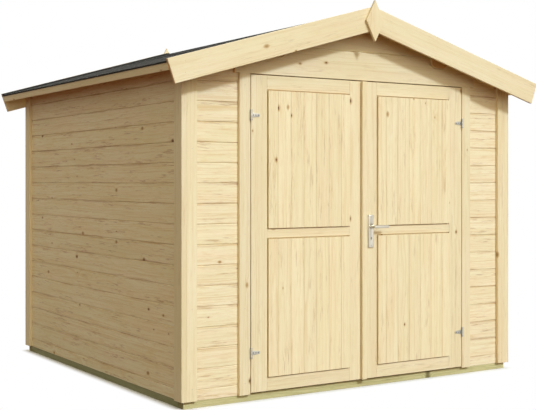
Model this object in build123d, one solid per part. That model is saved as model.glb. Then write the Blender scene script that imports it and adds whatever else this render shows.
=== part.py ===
import os
from math import cos, radians, sin, tan

from build123d import *

os.makedirs("parts", exist_ok=True)

# A timber garden shed with a ridge roof and a pair of doors in its front gable.
# Millimetres. X runs along the front, Y from the front to the back, Z up from the ground.

# Plan and walls
wall_width = 2500.0
wall_depth = 2500.0
cladding = 19.0
bearer_height = 42.0
bearer_width = 58.0
bearer_inset = 3.0
joist_spacing = 600.0
floor_thickness = 18.0
stud = 45.0
stud_spacing = 830.0

# Roof
pitch = 16.0
ridge_above_doors = 439.0
felt = 4.0
ridge_strip = 1.5
ridge_strip_width = 150.0
roof_board = 16.0
eave_overhang = 165.0
gable_overhang = 122.0
fascia_thickness = 18.0
fascia_height = 48.0
felt_drip = 3.0
barge_thickness = 18.0
barge_width = 143.5
barge_lip = 12.0
barge_reach = 170.0
barge_end_angle = 20.0
finial_thickness = 18.0
finial_width = 136.0
finial_height = 256.0
finial_rise = 50.0
purlin_width = 132.0
purlin_drop = 120.0
purlin_offset = 630.0
purlin_reach = 34.0
purlin_chamfer_width = 28.0
purlin_chamfer_height = 18.0
ridge_purlin_width = 44.0
ridge_purlin_height = 110.0
notch_clearance = 1.0

# Trims
trim = 20.0
angle_front = 34.0
angle_side = 92.0
corner_strip = 66.0
jamb_width = 73.0
header_height = 172.0
header_overhang = 32.0

# Doors
door_shift = 12.0
opening_half = 829.0
leaf_bottom = 51.0
leaf_height = 1860.0
leaf_thickness = 34.0
head_gap = 6.0
hinge_gap = 5.5
meeting_gap = 7.5
hinge_stile = 110.0
meeting_stile = 103.0
bottom_rail = 78.0
middle_rail = 52.0
top_rail = 83.0
groove = 6.0
panel_proud = 10.0
panel_thickness = 18.0
ledge = 20.0
stop_cover = 20.0
head_depth = 95.0
head_cover = 14.0
astragal_width = 37.0
astragal_lap = 21.0
astragal_thickness = 20.0
astragal_clearance = 5.0

# Hinges
barrel_radius = 6.5
barrel_length = 63.0
barrel_clearance = 1.0
pin_radius = 2.5
pin_clearance = 0.15
knuckle_gap = 0.5
strap_length = 62.0
strap_root = 26.0
strap_tip = 18.0
strap_thickness = 3.0
wing_thickness = 2.5
wing_depth = 18.0
hinge_low = 284.0
hinge_high = 1674.0

# Handle
plate_width = 42.0
plate_height = 206.0
plate_thickness = 9.0
plate_rounding = 4.0
plate_below_axis = 132.0
handle_height = 1003.0
handle_backset = 53.0
neck_radius = 9.0
neck_clearance = 0.3
neck_length = 40.0
lever_length = 104.0
lever_height = 17.0
lever_depth = 11.0
lever_rounding = 5.0
spindle = 8.0
spindle_clearance = 2.0
key_below_axis = 72.0
key_radius = 4.5
key_slot_width = 4.0
key_slot_length = 14.0

# Worked out from the sizes above
half_w = wall_width / 2
half_d = wall_depth / 2
inner_w = half_w - cladding
inner_d = half_d - cladding
wall_foot = bearer_height
floor_top = bearer_height + floor_thickness
slope = radians(pitch)
leaf_top = leaf_bottom + leaf_height
ridge_height = leaf_top + ridge_above_doors
trim_w = half_w + trim
trim_d = half_d + trim
header_foot = leaf_top + head_gap
gable_y = half_d + gable_overhang
barge_y = gable_y + barge_thickness
leaf_front = -trim_d
leaf_back = leaf_front + leaf_thickness
hinge_edge = opening_half - hinge_gap
free_edge = meeting_gap / 2
panel_front = leaf_front - panel_proud
panel_back = panel_front + panel_thickness
axis_x = opening_half - hinge_gap / 2
axis_y = leaf_front - barrel_clearance - barrel_radius
knuckle = (barrel_length - 2 * knuckle_gap) / 3


# Height, at a distance from the ridge, of a layer lying that deep below the felt's face
def layer_z(x, depth):
    return ridge_height - abs(x) * tan(slope) - depth / cos(slope)


soffit_depth = felt + roof_board


# A point of the right slope, from its distance down the slope and its depth below the felt
def on_slope(down, depth):
    return (
        down * cos(slope) - depth * sin(slope),
        ridge_height - down * sin(slope) - depth * cos(slope),
    )


# A box given by its low and high limits along each axis
def block(x, y, z):
    middle = Pos((x[0] + x[1]) / 2, (y[0] + y[1]) / 2, (z[0] + z[1]) / 2)
    return middle * Box(x[1] - x[0], y[1] - y[0], z[1] - z[0])


# An outline of X and Z points, carried along Y
def across(points, y):
    face = Plane(origin=(0, y[0], 0), x_dir=(1, 0, 0), z_dir=(0, -1, 0)) * make_face(
        Polyline(*points, close=True)
    )
    return extrude(face, amount=-(y[1] - y[0]))


# The space below the roof boards, which cuts what stands against them
def below_roof(part, depth=soffit_depth):
    reach = half_w + eave_overhang + barge_reach
    outline = [
        (-reach, 0),
        (reach, 0),
        (reach, layer_z(reach, depth)),
        (0, layer_z(0, depth)),
        (-reach, layer_z(reach, depth)),
    ]
    return part & across(outline, (-barge_y * 2, barge_y * 2))


def mirror_x(part):
    return mirror(part, about=Plane.YZ)


def mirror_y(part):
    return mirror(part, about=Plane.XZ)


# Pieces of one node, which don't touch each other
def group(parts):
    return Compound(children=[solid for part in parts for solid in part.solids()])


def save(name, part):
    export_step(part, f"parts/{name}.step")


# Bearers and floor
bearer_x = half_w - bearer_inset
bearer_y = half_d - bearer_inset
bearer_in = bearer_y - bearer_width
front_bearer = block((-bearer_x, bearer_x), (-bearer_y, -bearer_in), (0, bearer_height))
side_bearer = block(
    (bearer_x - bearer_width, bearer_x), (-bearer_in, bearer_in), (0, bearer_height)
)
save("end_bearers", group([front_bearer, mirror_y(front_bearer)]))
save("side_bearers", group([side_bearer, mirror_x(side_bearer)]))
joist = block(
    (-bearer_width / 2, bearer_width / 2), (-bearer_in, bearer_in), (0, bearer_height)
)
save("floor_joists", group([Pos(i * joist_spacing, 0, 0) * joist for i in (-1, 0, 1)]))
save(
    "floor",
    block((-inner_w, inner_w), (-inner_d, inner_d), (bearer_height, floor_top)),
)

# Purlins, bevelled to the roof and chamfered below, which end just outside the gable walls
purlin_foot = layer_z(purlin_offset, soffit_depth) - purlin_drop
purlin_y = (-half_d - purlin_reach, half_d + purlin_reach)


def purlin_outline(grow=0.0):
    low, high = purlin_offset - purlin_width / 2 - grow, purlin_offset + purlin_width / 2 + grow
    foot = purlin_foot - grow
    return [
        (low, layer_z(low, soffit_depth)),
        (low, foot + purlin_chamfer_height),
        (low + purlin_chamfer_width, foot),
        (high - purlin_chamfer_width, foot),
        (high, foot + purlin_chamfer_height),
        (high, layer_z(high, soffit_depth)),
    ]


def ridge_purlin_outline(grow=0.0):
    side = ridge_purlin_width / 2 + grow
    foot = layer_z(0, soffit_depth) - ridge_purlin_height - grow
    top = layer_z(side, soffit_depth)
    return [
        (-side, foot),
        (side, foot),
        (side, top),
        (0, layer_z(0, soffit_depth)),
        (-side, top),
    ]


purlin_right = across(purlin_outline(), purlin_y)
save("purlins", group([purlin_right, mirror_x(purlin_right)]))
save("ridge_purlin", across(ridge_purlin_outline(), purlin_y))


# Where the three purlins pass through a gable wall
def notched(wall, y):
    hole = across(purlin_outline(notch_clearance), y)
    return wall - hole - mirror_x(hole) - across(ridge_purlin_outline(notch_clearance), y)


# Walls
side_top = layer_z(half_w, soffit_depth)
right_wall = block((inner_w, half_w), (-half_d, half_d), (wall_foot, side_top))
save("right_wall", right_wall)
save("left_wall", mirror_x(right_wall))
gable_rise = layer_z(0, 0)
back_wall = below_roof(
    block((-inner_w, inner_w), (inner_d, half_d), (wall_foot, gable_rise))
)
save("back_wall", notched(back_wall, (inner_d, half_d)))
front_gable = below_roof(
    block((-inner_w, inner_w), (-half_d, -inner_d), (header_foot, gable_rise))
)
save("front_gable", notched(front_gable, (-half_d, -inner_d)))
opening_left = door_shift - opening_half
opening_right = door_shift + opening_half
save(
    "front_wall_left",
    block((-inner_w, opening_left), (-half_d, -inner_d), (wall_foot, header_foot)),
)
save(
    "front_wall_right",
    block((opening_right, inner_w), (-half_d, -inner_d), (wall_foot, header_foot)),
)

# Framing inside the walls
plate_top = layer_z(inner_w, soffit_depth)
plate_foot = plate_top - stud
stud_in_w = inner_w - stud
stud_in_d = inner_d - stud
wall_plate = block((stud_in_w, inner_w), (-inner_d, inner_d), (plate_foot, plate_top))
save("wall_plates", group([wall_plate, mirror_x(wall_plate)]))


def side_stud(y):
    return block(
        (stud_in_w, inner_w), (y - stud / 2, y + stud / 2), (floor_top, plate_foot)
    )


back_stud = below_roof(
    block(
        (stud_spacing / 2 - stud / 2, stud_spacing / 2 + stud / 2),
        (stud_in_d, inner_d),
        (floor_top, gable_rise),
    )
)
right_studs = [
    side_stud(y)
    for y in (
        -inner_d + stud / 2,
        -stud_spacing / 2,
        stud_spacing / 2,
        inner_d - stud / 2,
    )
]
left_studs = [mirror_x(post) for post in right_studs]
save("wall_studs", group(right_studs + left_studs + [back_stud, mirror_x(back_stud)]))

head_foot = leaf_top - head_cover
post = block(
    (opening_half - stop_cover, opening_half + stud),
    (-inner_d, -stud_in_d),
    (floor_top, head_foot),
)
shift = Pos(door_shift, 0, 0)
save("door_posts", group([shift * post, shift * mirror_x(post)]))
save(
    "door_head",
    shift
    * block(
        (-opening_half - stud, opening_half + stud),
        (-inner_d, -stud_in_d),
        (head_foot, head_foot + head_depth),
    ),
)

# Corner trims: an angle round each corner and a strip beside it on the gable walls
angle_top = layer_z(trim_w, soffit_depth)
angle = block(
    (trim_w - angle_front, trim_w), (-trim_d, -half_d), (wall_foot, angle_top)
) + block((half_w, trim_w), (-half_d, -trim_d + angle_side), (wall_foot, angle_top))
front_angles = [angle, mirror_x(angle)]
save("corner_angles", group(front_angles + [mirror_y(piece) for piece in front_angles]))
strip_edge = trim_w - angle_front
strip = below_roof(
    block(
        (strip_edge - corner_strip, strip_edge),
        (-trim_d, -half_d),
        (wall_foot, gable_rise),
    )
)
front_strips = [strip, mirror_x(strip)]
save("corner_strips", group(front_strips + [mirror_y(piece) for piece in front_strips]))

# Door surround
wing_y = (axis_y, axis_y + barrel_radius + barrel_clearance + wing_depth)
hinge_levels = (hinge_low, hinge_high)
jamb = block(
    (opening_half, opening_half + jamb_width),
    (-trim_d, -half_d),
    (wall_foot, header_foot),
)
for level in hinge_levels:
    jamb -= block(
        (opening_half, opening_half + wing_thickness),
        (-trim_d, wing_y[1]),
        (level - barrel_length / 2, level + barrel_length / 2),
    )
save("door_jambs", group([shift * jamb, shift * mirror_x(jamb)]))
header_half = opening_half + jamb_width + header_overhang
header = below_roof(
    shift
    * block(
        (-header_half, header_half),
        (-trim_d, -half_d),
        (header_foot, header_foot + header_height),
    )
)
save("door_header", notched(header, (-trim_d, -half_d)))

# Roof boards, felt, eave fascias and ridge strip
eave_down = (half_w + eave_overhang + felt * sin(slope)) / cos(slope)


# A layer of the right slope from the ridge down to a distance, between two depths
def roof_layer(down, top, bottom, y):
    return across(
        [
            (0, layer_z(0, top)),
            on_slope(down, top),
            on_slope(down, bottom),
            (0, layer_z(0, bottom)),
        ],
        y,
    )


roof_y = (-gable_y, gable_y)
boards_right = roof_layer(eave_down - fascia_thickness, felt, soffit_depth, roof_y)
save("roof_boards_right", boards_right)
save("roof_boards_left", mirror_x(boards_right))
felt_right = roof_layer(eave_down + felt_drip, 0, felt, roof_y)
save("felt_right", felt_right)
save("felt_left", mirror_x(felt_right))
half_strip = roof_layer(ridge_strip_width, -ridge_strip, 0, roof_y)
save("ridge_felt", half_strip + mirror_x(half_strip))
fascia_right = across(
    [
        on_slope(eave_down - fascia_thickness, felt),
        on_slope(eave_down, felt),
        on_slope(eave_down, felt + fascia_height),
        on_slope(eave_down - fascia_thickness, felt + fascia_height),
    ],
    roof_y,
)
save("eave_fascias", group([fascia_right, mirror_x(fascia_right)]))

# Bargeboards, mitred at the ridge, with slanted lower ends
barge_tip = half_w + barge_reach
barge_bottom = barge_width - barge_lip
end_slant = tan(radians(barge_end_angle))
tip_z = layer_z(barge_tip, -barge_lip)
root_z = layer_z(0, barge_bottom)
heel_x = (barge_tip - (tip_z - root_z) * end_slant) / (1 + tan(slope) * end_slant)
barge_outline = [
    (0, layer_z(0, -barge_lip)),
    (barge_tip, tip_z),
    (heel_x, layer_z(heel_x, barge_bottom)),
    (0, root_z),
]
barge_right = across(barge_outline, (-barge_y, -gable_y))
right_barges = [barge_right, mirror_y(barge_right)]
save("bargeboards_right", group(right_barges))
save("bargeboards_left", group([mirror_x(piece) for piece in right_barges]))

# Finials over the bargeboard joints
finial_top = ridge_height + finial_rise
finial_middle = finial_top - finial_height / 2
finial = across(
    [
        (0, finial_top),
        (finial_width / 2, finial_middle),
        (0, finial_top - finial_height),
        (-finial_width / 2, finial_middle),
    ],
    (-barge_y - finial_thickness, -barge_y),
)
save("finials", group([finial, mirror_y(finial)]))

# Right door leaf, about the doors' middle: a rebated frame with two board panels set in it
panel_x = (free_edge + meeting_stile + groove, hinge_edge - hinge_stile - groove)
low_panel_foot = leaf_bottom + bottom_rail + groove
high_panel_top = leaf_top - top_rail - groove
panel_height = (high_panel_top - low_panel_foot - middle_rail - 2 * groove) / 2
panel_levels = [
    (low_panel_foot, low_panel_foot + panel_height),
    (high_panel_top - panel_height, high_panel_top),
]


def widened(span, by):
    return (span[0] - by, span[1] + by)


leaf_frame = block(
    (free_edge, hinge_edge), (leaf_front, leaf_back), (leaf_bottom, leaf_top)
)
for level in panel_levels:
    leaf_frame -= block(
        widened(panel_x, groove), (leaf_front, panel_back), widened(level, groove)
    )
    leaf_frame -= block(
        widened(panel_x, groove - ledge),
        (panel_back, leaf_back),
        widened(level, groove - ledge),
    )
panels = [block(panel_x, (panel_front, panel_back), level) for level in panel_levels]
save("door_left_frame", shift * mirror_x(leaf_frame))
save("door_left_panels", group([shift * mirror_x(panel) for panel in panels]))
save("door_right_panels", group([shift * panel for panel in panels]))

astragal = block(
    (-astragal_lap, astragal_width - astragal_lap),
    (leaf_front - astragal_thickness, leaf_front),
    (leaf_bottom, leaf_top),
) - block(
    (-astragal_lap, free_edge),
    (leaf_front - astragal_clearance, leaf_front),
    (leaf_bottom, leaf_top),
)
save("astragal", shift * astragal)


# A tee hinge: the wing, outer knuckles and pin stay on the jamb, the strap turns with the leaf
def upright(radius, low, high):
    length = high - low
    return Pos(axis_x, axis_y, (low + high) / 2) * Cylinder(radius, length)


def hinge_wing(level):
    low, high = level - barrel_length / 2, level + barrel_length / 2
    wing = block((opening_half, opening_half + wing_thickness), wing_y, (low, high))
    wing -= upright(
        barrel_radius + knuckle_gap,
        low + knuckle,
        high - knuckle,
    )
    return (
        wing
        + upright(barrel_radius, low, low + knuckle)
        + upright(barrel_radius, high - knuckle, high)
        + upright(pin_radius, low, high)
    )


def hinge_strap(level):
    half_knuckle = knuckle / 2
    root_x = axis_x - barrel_radius - knuckle_gap
    tip_x = axis_x - strap_length
    top_y = leaf_front - strap_thickness
    tongue = block(
        (root_x - knuckle_gap, axis_x),
        (top_y, leaf_front),
        (level - half_knuckle, level + half_knuckle),
    )
    outline = [
        (root_x, level - strap_root / 2),
        (root_x, level + strap_root / 2),
        (tip_x + strap_tip / 2, level + strap_tip / 2),
        (tip_x + strap_tip / 2, level - strap_tip / 2),
    ]
    plate = across(outline, (top_y, leaf_front))
    tip = Pos(tip_x + strap_tip / 2, leaf_front - strap_thickness / 2, level) * Rot(
        90, 0, 0
    ) * Cylinder(strap_tip / 2, strap_thickness)
    barrel = upright(barrel_radius, level - half_knuckle, level + half_knuckle)
    bore = upright(
        pin_radius + pin_clearance, level - barrel_length, level + barrel_length
    )
    return plate + tip + tongue + barrel - bore


wings = [hinge_wing(level) for level in hinge_levels]
straps = [hinge_strap(level) for level in hinge_levels]
save(
    "hinge_wings",
    group([shift * wing for wing in wings] + [shift * mirror_x(wing) for wing in wings]),
)
save("hinge_straps_right", group([shift * strap for strap in straps]))
save("hinge_straps_left", group([shift * mirror_x(strap) for strap in straps]))

# Handle on the right leaf: a long plate and a lever on each face, on one square spindle
handle_x = free_edge + handle_backset
plate_z = (handle_height - plate_below_axis, handle_height - plate_below_axis + plate_height)
key_z = handle_height - key_below_axis


# A round bar along Y through the handle's axis or the keyhole
def through(radius, y, z=handle_height):
    return Pos(handle_x, (y[0] + y[1]) / 2, z) * Rot(90, 0, 0) * Cylinder(radius, y[1] - y[0])


def handle_plate(y, outer_face):
    plate = block((handle_x - plate_width / 2, handle_x + plate_width / 2), y, plate_z)
    rim = plate.faces().sort_by(Axis.Y)[0 if outer_face < 0 else -1].edges()
    plate = fillet(rim, plate_rounding)
    slot = block(
        (handle_x - key_slot_width / 2, handle_x + key_slot_width / 2),
        y,
        (key_z - key_slot_length, key_z),
    )
    return plate - through(neck_radius + neck_clearance, y) - through(key_radius, y, key_z) - slot


outer_plate_y = (leaf_front - plate_thickness, leaf_front)
inner_plate_y = (leaf_back, leaf_back + plate_thickness)
save(
    "handle_plates",
    group([shift * handle_plate(outer_plate_y, -1), shift * handle_plate(inner_plate_y, 1)]),
)

spindle_way = block(
    (handle_x - spindle / 2 - spindle_clearance, handle_x + spindle / 2 + spindle_clearance),
    (leaf_front, leaf_back),
    (
        handle_height - spindle / 2 - spindle_clearance,
        handle_height + spindle / 2 + spindle_clearance,
    ),
)
save("door_right_frame", shift * (leaf_frame - spindle_way))


# One lever: its neck rises from the leaf's face through the plate, and its arm points to the hinges
def lever(face, outward):
    reach = plate_thickness + neck_length
    far = face + outward * reach
    neck = through(neck_radius, tuple(sorted((face, far))))
    arm = block(
        (handle_x - neck_radius, handle_x + lever_length),
        tuple(sorted((far, far + outward * lever_depth))),
        (handle_height - lever_height / 2, handle_height + lever_height / 2),
    )
    arm = fillet(arm.edges(), lever_rounding)
    return neck + arm


spindle_bar = block(
    (handle_x - spindle / 2, handle_x + spindle / 2),
    (leaf_front, leaf_back),
    (handle_height - spindle / 2, handle_height + spindle / 2),
)
save("lever_outside", shift * (lever(leaf_front, -1) + spindle_bar))
save("lever_inside", shift * lever(leaf_back, 1))
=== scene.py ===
import math
from functools import partial

import bmesh
import bpy
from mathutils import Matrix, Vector, noise


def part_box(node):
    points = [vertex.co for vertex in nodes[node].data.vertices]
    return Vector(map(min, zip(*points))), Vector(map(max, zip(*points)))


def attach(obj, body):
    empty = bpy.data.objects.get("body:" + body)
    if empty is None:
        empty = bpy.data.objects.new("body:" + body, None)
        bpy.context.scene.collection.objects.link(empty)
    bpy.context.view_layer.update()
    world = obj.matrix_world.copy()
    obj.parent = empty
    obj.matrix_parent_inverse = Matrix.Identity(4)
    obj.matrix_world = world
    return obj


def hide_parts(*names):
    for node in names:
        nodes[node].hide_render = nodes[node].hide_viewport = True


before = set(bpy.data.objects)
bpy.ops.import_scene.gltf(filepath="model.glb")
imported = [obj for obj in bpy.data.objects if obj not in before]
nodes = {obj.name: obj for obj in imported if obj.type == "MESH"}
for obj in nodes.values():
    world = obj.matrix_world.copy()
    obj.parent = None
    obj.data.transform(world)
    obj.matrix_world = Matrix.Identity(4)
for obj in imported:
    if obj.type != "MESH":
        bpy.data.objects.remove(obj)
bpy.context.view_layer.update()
print("frame loaded with", len(nodes), "nodes")

mm = 0.001
axisX, axisY, axisZ = Vector((1, 0, 0)), Vector((0, 1, 0)), Vector((0, 0, 1))
roofPitch = math.radians(16)
slopes = {}
for side, sign in (("left", -1), ("right", 1)):
    slopes[side] = {
        "sign": sign,
        "down": Vector((sign * math.cos(roofPitch), 0, -math.sin(roofPitch))),
        "up": Vector((sign * math.sin(roofPitch), 0, math.cos(roofPitch))),
    }


# Small helpers for colours, objects and nodes
def hexColor(text):
    channels = [int(text[i:i + 2], 16) / 255 for i in (1, 3, 5)]
    linear = [c / 12.92 if c <= 0.04045 else ((c + 0.055) / 1.055) ** 2.4 for c in channels]
    return (*linear, 1.0)


# Adds an object to the scene for a mesh, a lamp or a camera
def addObject(name, data):
    made = bpy.data.objects.new(name, data)
    bpy.context.scene.collection.objects.link(made)
    return made


# Adds a node with its settings and links, and gives back one of its outputs. An input goes by its
# name, or by its number where the node repeats a name, as Mix does with its two colours, 6 and 7.
# Below, "add" is this function, bound to the tree at hand.
def addNode(tree, kind, inputs=None, out=0, **settings):
    node = tree.nodes.new(kind)
    for name, value in settings.items():
        setattr(node, name, value)
    for name, value in (inputs or {}).items():
        if isinstance(value, bpy.types.NodeSocket):
            tree.links.new(value, node.inputs[name])
        else:
            node.inputs[name].default_value = value
    return node.outputs[out] if node.outputs else None


def newMaterial(name):
    material = bpy.data.materials.new(name)
    material.use_nodes = True
    material.node_tree.nodes.clear()
    return material, partial(addNode, material.node_tree)


# Ends a material: the height makes the bump, and one shader takes the rest
def finishSurface(add, height, strength, depth, surface):
    bump = add("ShaderNodeBump", {"Strength": strength, "Distance": depth, "Height": height})
    shader = add("ShaderNodeBsdfPrincipled", {**surface, "Normal": bump})
    add("ShaderNodeOutputMaterial", {"Surface": shader})


# Planed spruce, left bare: pale sapwood, straw latewood lines, fine fibre, brown flecks and edge
# streaks, and small knots. Its pattern lies along each board, in the board's "grain" vectors: x
# runs along the board, y across it and z into it, both measured from the pith.
# Every stain has its length and width on the board and the noise levels where it starts and is
# full. Flecks come in groups, so they show only inside a nest, and edge streaks lie along the
# edges, where the saw cut through dense late wood.
stains = {
    "cloud": {"length": 1100 * mm, "width": 190 * mm, "from": 0.35, "full": 0.70},
    "blush": {"length": 700 * mm, "width": 90 * mm, "from": 0.40, "full": 0.75},
    "streak": {"length": 620 * mm, "width": 13 * mm, "from": 0.50, "full": 0.74},
    "blotch": {"length": 95 * mm, "width": 13 * mm, "from": 0.50, "full": 0.74},
    "fibre": {"length": 240 * mm, "width": 4 * mm, "from": 0.50, "full": 0.80},
    "pore": {"length": 34 * mm, "width": 0.9 * mm, "from": 0.46, "full": 0.74},
    "nest": {"length": 340 * mm, "width": 40 * mm, "from": 0.55, "full": 0.66},
    "fleck": {"length": 95 * mm, "width": 5 * mm, "from": 0.47, "full": 0.62},
    "edgeStreak": {"length": 384.6 * mm, "width": 14.29 * mm, "from": 0.46, "full": 0.64,
                   "detail": 4.0},
}
# What is laid over the pale wood, in this order, and the tint of each
paintOrder = {
    "cloud": "shade", "blush": "rosy", "streak": "amber", "blotch": "amber", "latewood": "amber",
    "fibre": "amber", "pore": "amber", "fleck": "brown", "edgeStreak": "brown", "sawnEnd": "end",
    "flame": "knotRim", "rim": "knotRim", "core": "knot",
}
# Timber that was planed less finely, with its figure showing more
plainTimber = {
    "cloud": 0.8, "blush": 0.5, "streak": 0.50, "blotch": 0.35, "fibre": 0.36, "pore": 0.30,
    "fleck": 0.40, "edgeStreak": 0.3, "ringWidth": 9 * mm, "ringContrast": 0.55,
    "knotShare": 0.22, "toneSpread": 0.09, "roughness": 0.72, "bumpDepth": 0.8 * mm,
}
# Pine pressed full of a green-brown preservative, which dulls it and roughens its grain
treated = {
    **plainTimber, "edgeStreak": 0.0, "ringWidth": 8 * mm, "toneSpread": 0.08,
    "roughness": 0.76, "bumpDepth": 1.0 * mm,
}
spruceFinishes = {
    "spruceCladding": {
        "pale": "#FCEFCD", "shade": "#F2E4B8", "rosy": "#FAE4C0", "amber": "#DFBD7E",
        "brown": "#A86A2C", "end": "#D2AC70", "knot": "#54320F", "knotRim": "#B98A48",
        "cloud": 0.8, "blush": 0.7, "streak": 0.42, "blotch": 0.36, "fibre": 0.40, "pore": 0.30,
        "fleck": 0.52, "edgeStreak": 0.44, "ringWidth": 11 * mm, "ringContrast": 0.34,
        "knotShare": 0.15, "toneSpread": 0.035, "roughness": 0.66, "bumpDepth": 0.5 * mm,
    },
    # The trim's end grain is paler than sawn spruce ends: partly its own colour, partly painted
    # light, so the purlin ends look lit though they stand in shade under the eaves.
    "spruceTrim": {
        "pale": "#F7E9C4", "shade": "#EDDCAD", "rosy": "#F4DEB9", "amber": "#DFC288",
        "brown": "#B08C54", "end": "#E2B47A", "knot": "#684423", "knotRim": "#C49C60",
        "cloud": 0.7, "blush": 0.6, "streak": 0.34, "blotch": 0.20, "fibre": 0.24, "pore": 0.30,
        "fleck": 0.28, "edgeStreak": 0.0, "ringWidth": 14 * mm, "ringContrast": 0.30,
        "knotShare": 0.13, "toneSpread": 0.05, "roughness": 0.64, "bumpDepth": 0.4 * mm,
    },
    "sprucePanel": {
        "pale": "#FBEDC6", "shade": "#F2E2B4", "rosy": "#F7E1B9", "amber": "#E2C389",
        "brown": "#B07E48", "end": "#D2AC70", "knot": "#633D1A", "knotRim": "#C89C60",
        "cloud": 0.6, "blush": 0.7, "streak": 0.34, "blotch": 0.24, "fibre": 0.26, "pore": 0.30,
        "fleck": 0.36, "edgeStreak": 0.16, "ringWidth": 12 * mm, "ringContrast": 0.30,
        "knotShare": 0.13, "toneSpread": 0.03, "roughness": 0.66, "bumpDepth": 0.4 * mm,
    },
    "spruceFraming": {
        "pale": "#E9D3A6", "shade": "#D9BE8A", "rosy": "#E2C397", "amber": "#C89E64",
        "brown": "#936B38", "end": "#BB8C50", "knot": "#5A3719", "knotRim": "#A97C45",
        **plainTimber, "knotShare": 0.26,
    },
    # The roof boards: spruce painted darker and more orange than the framing, as painted shade
    # under the eaves, where they are seen from below.
    "spruceRoofBoardsPaintedShade": {
        "pale": "#DDB47C", "shade": "#CDA066", "rosy": "#D6A572", "amber": "#BC8850",
        "brown": "#8A5E2E", "end": "#B07E44", "knot": "#50301A", "knotRim": "#9C6C38",
        **plainTimber, "ringContrast": 0.50,
    },
    "treatedPine": {
        "pale": "#E0D8A2", "shade": "#CEC68E", "rosy": "#D6C894", "amber": "#ACA268",
        "brown": "#75683A", "end": "#8F8450", "knot": "#4A3A20", "knotRim": "#7E7144",
        **treated,
    },
    # The side bearers: the same treated pine, painted darker and greyer as painted shade, for they
    # stand back in shade under the wall boards.
    "treatedPinePaintedShade": {
        "pale": "#A5A37C", "shade": "#97966F", "rosy": "#A09672", "amber": "#807A52",
        "brown": "#5F5637", "end": "#7A7350", "knot": "#3E321C", "knotRim": "#686042",
        **treated,
    },
}
# Knots: "core" and "rim" are shares of the knot's radius, from where each starts to where it is
# full. The rings bend round a knot within its reach, and a paler flame runs out from it.
knots = {
    "spacing": 120 * mm, "smallest": 2.8 * mm, "largest": 7.5 * mm, "slimness": 0.64,
    "raggedSize": 5.263 * mm, "raggedDepth": 3.5 * mm, "core": (1.5, 0.8), "rim": (2.9, 1.2),
    "rimStrength": 0.75, "faintest": 0.25, "faintUnder": 0.35, "darkOver": 0.75,
    "reach": 46 * mm, "bend": 12 * mm, "flameWidth": 10 * mm, "flameSlim": 0.34,
    "flameDepth": 0.22,
}
growth = {
    "driftLength": 625 * mm, "driftWidth": 111.1 * mm, "drift": 50 * mm, "from": 0.46,
    "full": 0.74, "detail": 1.5, "roughness": 0.55,
}
# The edge zone starts and is full at these shares of half the board's width
planedFace = {
    "edgeFrom": 0.72, "edgeFull": 0.98, "sawnEnd": 0.85, "ringRelief": 0.8, "bumpStrength": 0.35,
    "smoother": 0.06, "rougher": 0.25, "ior": 1.45, "specular": 0.22,
}


# Noise drawn out along the grain, in spots of this length and width on the board
def grainNoise(add, grain, length, width, detail, roughness=0.6):
    squeeze = (1 / length, 1 / width, 1 / width)
    place = add("ShaderNodeVectorMath", {0: grain, 1: squeeze}, operation="MULTIPLY")
    return add("ShaderNodeTexNoise", {
        "Vector": place, "Scale": 1.0, "Detail": detail, "Roughness": roughness})


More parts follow.
